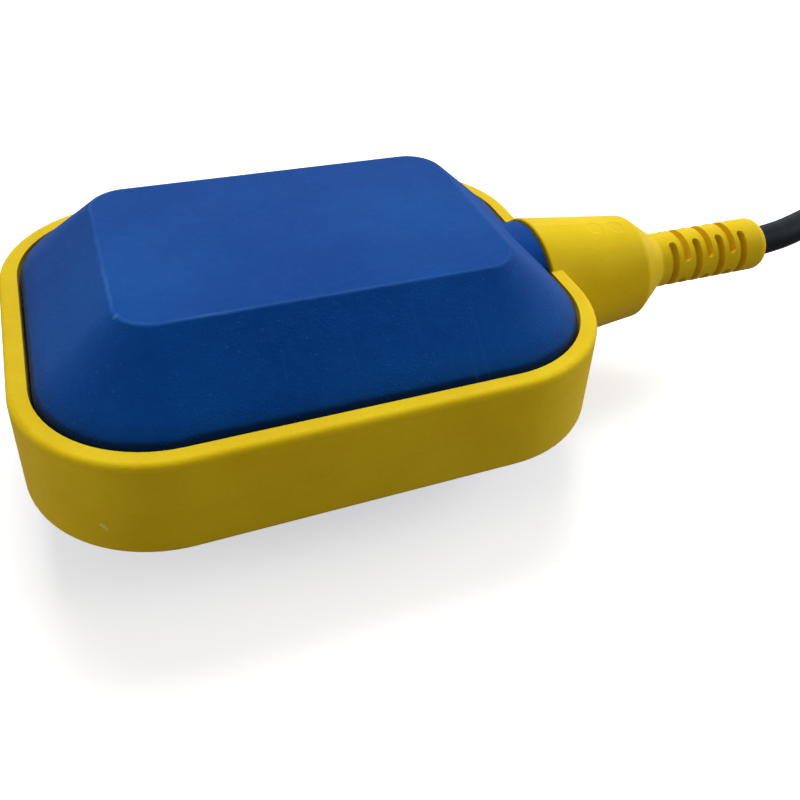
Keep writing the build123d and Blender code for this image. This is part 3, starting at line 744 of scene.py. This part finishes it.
@dataclass(frozen=True)
class WorkedMetal(Finish):
    """Metal with the fine lines of its making.

    Attributes:
        roughness: Its roughness.
        lay: Which way its lines run.
    """

    roughness: float = 0.3
    lay: Lay = Lay.EVEN

    def wire(self, graph: MaterialGraph) -> None:
        """Wires the material's nodes.

        Args:
            graph: The material's graph.
        """
        scale = tuple(6.0 * part for part in self.lay.value)
        lines = graph.noise(graph.stretched(graph.place, scale), 1.0, 3.0, 0.6)
        graph.surface(
            Base_Color=graph.effect(graph.shared.cloudy, Scale=120.0, Light=self.light, Deep=self.deep),
            Metallic=1.0,
            Roughness=graph.math("MULTIPLY_ADD", lines, 0.2, self.roughness - 0.1),
            Normal=graph.bump(lines, 0.01 * MM, 0.4),
        )


def clear_selection() -> None:
    """Leaves edit mode and deselects everything."""
    if bpy.context.object is not None and bpy.context.object.mode != "OBJECT":
        bpy.ops.object.mode_set(mode="OBJECT")
    bpy.ops.object.select_all(action="DESELECT")


def settle(piece: bpy.types.Object) -> None:
    """Writes a piece's place into its mesh and leaves the piece at the origin.

    Args:
        piece: The mesh object.
    """
    clear_selection()
    piece.select_set(True)
    bpy.context.view_layer.objects.active = piece
    bpy.ops.object.transform_apply(location=True, rotation=True, scale=True)


@dataclass(frozen=True)
class Lamp:
    """A soft square lamp.

    Attributes:
        name: Its name.
        place: Where it hangs.
        aim: What it points at.
        size: Its side.
        power: Its power, in watts.
    """

    name: str
    place: Point
    aim: Point
    size: float
    power: float

    def hang(self) -> None:
        """Puts the lamp into the scene."""
        data = bpy.data.lights.new(self.name, "AREA")
        data.shape = "SQUARE"
        data.size = self.size
        data.energy = self.power
        lamp = bpy.data.objects.new(self.name, data)
        lamp.location = self.place
        lamp.rotation_euler = (Vector(self.aim) - Vector(self.place)).to_track_quat("-Z", "Y").to_euler()
        bpy.context.scene.collection.objects.link(lamp)


@dataclass
class Studio:
    """Camera, floor, world and lamps.

    Attributes:
        camera_place: Where the camera stands.
        camera_turn: Its Euler angles, in degrees.
        lens: Its focal length, in millimetres on a sensor 36 mm wide.
        shift: Its shift across and up.
        floor_size: Side of the floor.
        fill: Strength of the world's light.
        mirrored: Strength of the world in reflections.
        glow: The floor's own light under the float and far from it.
        glow_reach: How far out the glow starts to rise, and where it is full.
        bounce: The floor's colour for the light that it throws back.
        lamps: One from above and behind, and weak ones from the sides.
    """

    camera_place: Point = (-0.037441, -0.137415, 0.125261)
    camera_turn: Point = (55.8885, -4.2255, -22.9881)
    lens: float = 41.8013
    shift: tuple[float, float] = (-0.05426, -0.13419)
    floor_size: float = 4.0
    fill: float = 0.26
    mirrored: float = 0.55
    glow: tuple[float, float] = (0.55, 1.0)
    glow_reach: tuple[float, float] = (0.4, 1.1)
    bounce: Colour = (0.31, 0.275, 0.265, 1.0)
    lamps: tuple[Lamp, ...] = (
        Lamp("Key", (0.16, 0.70, 0.90), (0.0, 0.0, 0.0), 0.8, 11.2),
        Lamp("Left", (-0.80, 0.10, 0.22), (0.0, 0.0, 0.02), 0.45, 1.45),
        Lamp("Right", (0.85, 0.10, 0.25), (0.03, 0.0, 0.02), 0.45, 1.7),
        Lamp("Near right", (0.48, -0.18, 0.26), (0.10, 0.0, 0.02), 0.22, 0.58),
    )

    def camera(self) -> None:
        """Sets up the camera at the photograph's viewpoint."""
        data = bpy.data.cameras.new("Camera")
        data.sensor_width = 36.0
        data.lens = self.lens
        data.shift_x, data.shift_y = self.shift
        data.clip_start = 0.01
        data.clip_end = 20.0
        camera = bpy.data.objects.new("Camera", data)
        camera.location = self.camera_place
        camera.rotation_euler = [math.radians(angle) for angle in self.camera_turn]
        bpy.context.scene.collection.objects.link(camera)
        bpy.context.scene.camera = camera

    def world(self) -> None:
        """Makes a dim grey world that the camera and reflections see as white."""
        world = bpy.data.worlds.new("Studio")
        bpy.context.scene.world = world
        world.use_nodes = True
        graph = Graph(world.node_tree)
        background = world.node_tree.nodes["Background"]
        path = graph.node("ShaderNodeLightPath")
        seen = graph.math("MAXIMUM", path.outputs["Is Camera Ray"], path.outputs["Is Transmission Ray"])
        soft = graph.math("MULTIPLY", path.outputs["Is Glossy Ray"], self.mirrored)
        white = graph.math("MAXIMUM", seen, soft)
        strength = graph.ramp(white, 0.0, 1.0, self.fill, 1.0)
        background.inputs["Color"].default_value = (1.0, 1.0, 1.0, 1.0)
        graph.feed(background.inputs["Strength"], strength)

    def floor(self) -> None:
        """Lays a pale floor that looks white and keeps the shadow."""
        clear_selection()
        bpy.ops.mesh.primitive_plane_add(size=self.floor_size, location=(0.06, 0.0, 0.0))
        floor = bpy.context.object
        floor.name = "Floor"
        material = bpy.data.materials.new("Floor")
        material.use_nodes = True
        graph = Graph(material.node_tree)
        tree = material.node_tree
        tree.nodes.remove(tree.nodes["Principled BSDF"])
        output = tree.nodes["Material Output"]
        path = graph.node("ShaderNodeLightPath")
        lit = graph.node("ShaderNodeBsdfDiffuse")
        lit.inputs["Color"].default_value = (0.9, 0.9, 0.9, 1.0)
        dim = graph.node("ShaderNodeBsdfDiffuse")
        dim.inputs["Color"].default_value = self.bounce
        glow = graph.node("ShaderNodeEmission")
        glow.inputs["Color"].default_value = (1.0, 1.0, 1.0, 1.0)
        away = graph.node("ShaderNodeVectorMath", operation="LENGTH")
        graph.feed(away.inputs[0], graph.node("ShaderNodeTexCoord").outputs["Object"])
        graph.feed(glow.inputs["Strength"], graph.ramp(away.outputs["Value"], *self.glow_reach, *self.glow))
        seen = graph.node("ShaderNodeAddShader")
        tree.links.new(lit.outputs[0], seen.inputs[0])
        tree.links.new(glow.outputs[0], seen.inputs[1])
        either = graph.node("ShaderNodeMixShader")
        camera = graph.math("MAXIMUM", path.outputs["Is Camera Ray"], path.outputs["Is Transmission Ray"])
        graph.feed(either.inputs[0], camera)
        tree.links.new(dim.outputs[0], either.inputs[1])
        tree.links.new(seen.outputs[0], either.inputs[2])
        tree.links.new(either.outputs[0], output.inputs[0])
        floor.data.materials.append(material)
        settle(floor)

    def build(self) -> None:
        """Sets up everything but the camera, which comes first."""
        self.world()
        self.floor()
        for lamp in self.lamps:
            lamp.hang()
        view = bpy.context.scene.view_settings
        view.view_transform = "Standard"


@dataclass
class Lead:
    """The free lead: out of the strain relief, down to the surface and into a neat coil.

    Attributes:
        diameter: Its diameter over the sheath.
        run: Its route from the strain relief to the coil.
        coil_radius: Radius of the coil's outermost turn, at the middle of the sheath.
        turns: Turns in each layer, outwards and inwards by turns.
        climb: Share of a turn over which the lead climbs to the next layer.
        points_per_turn: Control points for each turn.
        length: The lead's real length outside the float. It is not used.
    """

    diameter: float = 6.6 * MM
    run: tuple[Point, ...] = (
        (0.10644, 0.0, 0.0210),
        (0.11364, 0.0, 0.0215),
        (0.12324, 0.0017, 0.0229),
        (0.13544, 0.0064, 0.0214),
        (0.14904, 0.0114, 0.0140),
        (0.16204, 0.0162, 0.0063),
        (0.17404, 0.0206, 0.0033),
        (0.18604, 0.0250, 0.0033),
    )
    coil_radius: float = 46.2 * MM
    turns: tuple[int, ...] = (3, 3, 2)
    climb: float = 0.2
    points_per_turn: int = 16
    length: float = 1.95
    piece: Optional[bpy.types.Object] = None
    path: list[Vector] = field(default_factory=list)

    def heading(self) -> float:
        """Direction in which the lead reaches the coil, as an angle from X."""
        (x0, y0, _), (x1, y1, _) = self.run[-2:]
        return math.atan2(y1 - y0, x1 - x0)

    def centre(self) -> tuple[float, float]:
        """Middle of the coil, beside the end of the run.

        Returns:
            Its X and Y.
        """
        x, y, _ = self.run[-1]
        turn = self.heading()
        return x + self.coil_radius * math.sin(turn), y - self.coil_radius * math.cos(turn)

    def turn_radius(self, turns: float) -> float:
        """Radius of the coil after some turns.

        Args:
            turns: Turns from the start of the coil.

        Returns:
            The radius of the sheath's middle.
        """
        first, second, _ = self.turns
        if turns <= first:
            return self.coil_radius - self.diameter * turns
        if turns <= first + second:
            return self.coil_radius - self.diameter * (first + second - turns)
        return self.coil_radius - self.diameter * (turns - first - second)

    def layer_height(self, turns: float) -> float:
        """Height of the sheath's middle after some turns, with a short climb to each layer.

        Args:
            turns: Turns from the start of the coil.

        Returns:
            The height.
        """
        height = self.diameter / 2
        reached = 0
        for count in self.turns[:-1]:
            reached += count
            share = (turns - reached + self.climb / 2) / self.climb
            height += self.diameter * min(1.0, max(0.0, share))
        return height

    def on_coil(self, radius: float, angle: float, height: float) -> Vector:
        """Point at a distance from the coil's axis, an angle from X and a height."""
        x, y = self.centre()
        return Vector((x + radius * math.cos(angle), y + radius * math.sin(angle), height))

    def route(self) -> list[Vector]:
        """Control points of the whole lead.

        Returns:
            The run's points, then the coil's.
        """
        points = [Vector(point) for point in self.run]
        step = 2 * math.pi / self.points_per_turn
        # The curve runs inside its control points, so on the coil they stand a little further out.
        outward = 1 / (0.75 + 0.25 * math.cos(step))
        start = self.heading() + math.pi / 2
        for i in range(1, sum(self.turns) * self.points_per_turn + 1):
            turns = i / self.points_per_turn
            stretch = 1 + (outward - 1) * min(1.0, i / 3)
            radius = self.turn_radius(turns) * stretch
            points.append(self.on_coil(radius, start - i * step, self.layer_height(turns)))
        return points

    def build(self) -> bpy.types.Object:
        """Makes the lead as one smooth tube.

        Returns:
            The mesh object.
        """
        self.piece, self.path = swept_tube("Lead", self.route(), self.diameter / 2, 6)
        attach(self.piece, FLOAT_BODY)
        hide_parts("cable", "cable_coil")
        return self.piece


def swept_tube(
    name: str, points: list[Vector], radius: float, sides: int
) -> tuple[bpy.types.Object, list[Vector]]:
    """Makes a round tube along a smooth open curve.

    Args:
        name: The object's name.
        points: The curve's control points.
        radius: The tube's radius.
        sides: Resolution of the tube's round section.

    Returns:
        The mesh object and the line that it follows.
    """
    clear_selection()
    curve = bpy.data.curves.new(name, "CURVE")
    curve.dimensions = "3D"
    curve.resolution_u = 8
    spline = curve.splines.new("NURBS")
    spline.points.add(len(points) - 1)
    for control, point in zip(spline.points, points):
        control.co = (point.x, point.y, point.z, 1.0)
    spline.order_u = 3
    spline.use_endpoint_u = True
    piece = bpy.data.objects.new(name, curve)
    bpy.context.scene.collection.objects.link(piece)
    line = bpy.data.meshes.new_from_object(piece)
    path = [vertex.co.copy() for vertex in line.vertices]
    bpy.data.meshes.remove(line)
    curve.bevel_depth = radius
    curve.bevel_resolution = sides
    curve.use_fill_caps = True
    piece.select_set(True)
    bpy.context.view_layer.objects.active = piece
    bpy.ops.object.convert(target="MESH")
    bpy.ops.object.shade_smooth_by_angle(angle=math.radians(50))
    return bpy.context.object, path


@dataclass
class BaredEnd:
    """The three bared cores past the end of the sheath, with their ferrules.

    Attributes:
        lead: The lead that they come out of.
        core_radius: Radius over the insulation.
        spreads: How far each core leaves the sheath to the side of its middle.
        lifts: How far it leaves it above its middle.
        clearance: Space between the cores and the coil.
        lane_gap: Space between two cores side by side.
        start_angle: Where the cores lie side by side, in degrees round the coil.
        end_angle: Where the ferrules begin, in degrees round the coil.
        ferrule_length: Length of a ferrule.
        collar_length: Length of its collar.
        pin_radius: Radius of its pin.
        crimp: Share of the pin's width that the crimp leaves.
        edge: Width of its soft edges.
        wires: Node names and finishes of the cores, from the coil's inside outwards.
    """

    lead: Lead
    core_radius: float = 1.05 * MM
    spreads: tuple[float, ...] = (-1.1 * MM, 0.0, 1.1 * MM)
    lifts: tuple[float, ...] = (-0.6 * MM, 1.2 * MM, -0.6 * MM)
    clearance: float = 0.1 * MM
    lane_gap: float = 0.05 * MM
    start_angle: float = 82.0
    end_angle: float = -13.0
    ferrule_length: float = 12.0 * MM
    collar_length: float = 5.0 * MM
    pin_radius: float = 0.8 * MM
    crimp: float = 0.78
    edge: float = 0.12 * MM
    wires: tuple[str, ...] = ("black", "blue", "brown")
    pieces: list[bpy.types.Object] = field(default_factory=list)

    def lane(self, number: int) -> float:
        """Distance of a core's middle from the coil's axis, inside the inner turn."""
        inner = self.lead.coil_radius - 3.5 * self.lead.diameter
        return inner + self.core_radius + self.clearance + number * (2 * self.core_radius + self.lane_gap)

    def level(self) -> float:
        """Height of the cores' middles on the coil's second layer."""
        return 2 * self.lead.diameter + self.core_radius + self.clearance

    def core(self, number: int) -> bpy.types.Object:
        """Makes one bared core.

        Args:
            number: The core, from the inside outwards.

        Returns:
            The mesh object.
        """
        start = self.lead.heading() + math.pi / 2
        end_radius = self.lead.turn_radius(float(sum(self.lead.turns)))
        spread, lift = self.spreads[number], self.lifts[number]
        top = self.lead.layer_height(float(sum(self.lead.turns)))
        points = [
            self.lead.on_coil(end_radius + spread, start + 0.03, top + lift),
            self.lead.on_coil(end_radius + spread, start - 0.05, top + lift),
        ]
        first = math.radians(self.start_angle)
        for share in (0.25, 0.5, 0.75):
            eased = share * share * (3 - 2 * share)
            radius = end_radius + spread + (self.lane(number) - end_radius - spread) * eased
            height = top + lift + (self.level() - top - lift) * share
            angle = start - 0.05 + (first - start + 0.05) * share
            points.append(self.lead.on_coil(radius, angle, height))
        last = math.radians(self.end_angle)
        for i in range(9):
            angle = first + (last - first) * i / 8
            points.append(self.lead.on_coil(self.lane(number), angle, self.level()))
        name = self.wires[number]
        piece, _ = swept_tube(f"Bared_core_{name}", points, self.core_radius, 3)
        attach(piece, FLOAT_BODY)
        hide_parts(f"tail_{name}")
        return piece

    def ferrule(self, number: int) -> bpy.types.Object:
        """Makes one ferrule: a crimped pin with a flared collar.

        Args:
            number: The core, from the inside outwards.

        Returns:
            The mesh object.
        """
        clear_selection()
        bpy.ops.mesh.primitive_cylinder_add(vertices=24, radius=self.core_radius, depth=self.collar_length)
        piece = bpy.context.object
        name = self.wires[number]
        piece.name = f"Ferrule_{name}"
        bpy.ops.object.mode_set(mode="EDIT")
        bpy.ops.mesh.select_all(action="DESELECT")
        bpy.ops.object.mode_set(mode="OBJECT")
        for face in piece.data.polygons:
            face.select = face.normal.z > 0.9
        bpy.ops.object.mode_set(mode="EDIT")
        bpy.ops.mesh.inset(thickness=self.core_radius - self.pin_radius)
        pin = self.ferrule_length - self.collar_length
        for length in (0.15 * pin, 0.25 * pin, 0.25 * pin, 0.25 * pin, 0.1 * pin):
            bpy.ops.mesh.extrude_region_move(TRANSFORM_OT_translate={"value": (0, 0, length)})
        bpy.ops.transform.resize(value=(0.7, 0.7, 1.0))
        bpy.ops.object.mode_set(mode="OBJECT")
        for vertex in piece.data.vertices:
            depth = vertex.co.z - self.collar_length / 2
            if 0.2 * pin < depth < 0.85 * pin:
                vertex.co.y *= self.crimp
        bevel = piece.modifiers.new("Soft edges", "BEVEL")
        bevel.width = self.edge
        bevel.segments = 2
        bevel.limit_method = "ANGLE"
        bpy.ops.object.modifier_apply(modifier=bevel.name)
        bpy.ops.object.shade_smooth_by_angle(angle=math.radians(40))
        inward = math.asin(self.ferrule_length / 2 / self.lane(1))
        last = math.radians(self.end_angle)
        heading = last - inward - math.pi / 2
        begin = self.lead.on_coil(self.lane(number), last, self.level())
        along = Vector((math.cos(heading), math.sin(heading), 0.0))
        turn = along.to_track_quat("Z", "Y").to_matrix().to_4x4()
        piece.matrix_world = Matrix.Translation(begin + along * self.collar_length / 2) @ turn
        settle(piece)
        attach(piece, FLOAT_BODY)
        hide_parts(f"ferrule_{name}")
        return piece

    def build(self) -> None:
        for number in range(3):
            self.pieces += [self.core(number), self.ferrule(number)]
        bpy.context.view_layer.update()

    def finish(self, finishes: dict[str, bpy.types.Material]) -> None:
        """Puts the finishes on.

        Args:
            finishes: The materials by name.
        """
        for piece in self.pieces:
            kind, name = piece.name.rsplit("_", 1)
            key = f"core_{name}" if kind == "Bared_core" else "tin"
            piece.data.materials.append(finishes[key])


@dataclass
class PackedNodes:
    """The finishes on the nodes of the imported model.

    Attributes:
        nodes: The nodes that each finish goes on.
    """

    nodes: dict[str, tuple[str, ...]] = field(
        default_factory=lambda: {
            "shell": ("upper_shell", "lower_shell"),
            "band": ("bumper_band",),
            "carrier": ("switch_carrier", "carrier_cover", "cord_grip"),
            "screws": ("carrier_screws", "cover_screws", "grip_screws"),
            "ball": ("steel_ball",),
            "case": ("microswitch_case",),
            "case_cover": ("microswitch_cover",),
            "plunger": ("plunger",),
            "spring": ("microswitch_lever", "lever_pin"),
            "brass": (
                "contact_blade",
                "common_terminal",
                "normally_closed_terminal",
                "normally_open_terminal",
                "receptacle_common",
                "receptacle_closed",
                "receptacle_open",
            ),
            "core_black": ("core_black", "tail_black"),
            "core_blue": ("core_blue", "tail_blue"),
            "core_brown": ("core_brown", "tail_brown"),
            "sheath": ("cable_entry", "cable", "cable_coil"),
            "rubber": ("cable_seal",),
            "resin": ("potting_plug",),
            "tin": ("ferrule_black", "ferrule_blue", "ferrule_brown"),
        }
    )

    def finish(self, finishes: dict[str, bpy.types.Material]) -> None:
        """Puts the finishes on.

        Args:
            finishes: The materials by name.
        """
        for key, names in self.nodes.items():
            for name in names:
                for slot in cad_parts[name].material_slots:
                    slot.material = finishes[key]
                log.info("node: %s, finish %s", name, key)


def make_finishes() -> dict[str, bpy.types.Material]:
    """Makes every finish.

    Returns:
        The materials by name.
    """
    shared = SharedEffects()
    core = (0.4, 2400.0, 0.01 * MM)
    recipes = {
        "shell": ShellPlastic(),
        "band": BandPlastic(),
        "sheath": SheathRubber("Lead sheath", srgb(24, 34, 40), srgb(13, 21, 27)),
        "rubber": SheathRubber("Seal rubber", srgb(46, 46, 47), srgb(30, 30, 31), 0.6),
        "carrier": MouldedPlastic("Carrier plastic", srgb(214, 213, 206), srgb(196, 195, 187)),
        "case": MouldedPlastic("Switch case plastic", srgb(48, 48, 50), srgb(34, 34, 36), 0.38),
        "case_cover": MouldedPlastic("Switch cover plastic", srgb(74, 70, 66), srgb(58, 55, 52), 0.38),
        "plunger": MouldedPlastic("Plunger plastic", srgb(196, 66, 44), srgb(172, 50, 32), 0.3),
        "core_black": MouldedPlastic("Black core", srgb(34, 34, 36), srgb(22, 22, 24), *core),
        "core_blue": MouldedPlastic("Blue core", srgb(48, 104, 200), srgb(34, 84, 178), *core),
        "core_brown": MouldedPlastic("Brown core", srgb(122, 76, 48), srgb(98, 58, 34), *core),
        "resin": MouldedPlastic(
            "Cast resin", srgb(70, 58, 46), srgb(50, 40, 30), 0.2, 300.0, 0.02 * MM, scuff=0.0, coat=0.6
        ),
        "ball": WorkedMetal("Ball steel", srgb(214, 214, 216), srgb(196, 197, 200), 0.14),
        "screws": WorkedMetal("Screw steel", srgb(206, 207, 210), srgb(180, 182, 186), 0.32),
        "spring": WorkedMetal("Spring steel", srgb(196, 198, 200), srgb(172, 175, 178), 0.3, Lay.ALONG_X),
        "brass": WorkedMetal("Contact brass", srgb(222, 188, 108), srgb(200, 162, 84), 0.3, Lay.ALONG_Y),
        "tin": WorkedMetal("Tinned copper", srgb(216, 216, 214), srgb(190, 190, 190), 0.34),
    }
    return {name: recipe.build(shared) for name, recipe in recipes.items()}


def main() -> None:
    """Builds the scene: camera and lead first, then the finishes, the room and the lamps."""
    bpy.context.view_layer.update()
    studio = Studio()
    studio.camera()
    lead = Lead()
    lead.build()
    end = BaredEnd(lead)
    end.build()
    log.info("lead: %.3f m across the coil", 2 * lead.coil_radius + lead.diameter)
    for piece in (lead.piece, *end.pieces):
        log.info("piece: %s, %d faces", piece.name, len(piece.data.polygons))
    finishes = make_finishes()
    lead.piece.data.materials.append(finishes["sheath"])
    end.finish(finishes)
    PackedNodes().finish(finishes)
    log.info("finishes: %d", len(finishes))
    studio.build()
    log.info("sizes written")


if __name__ == "__main__":
    main()
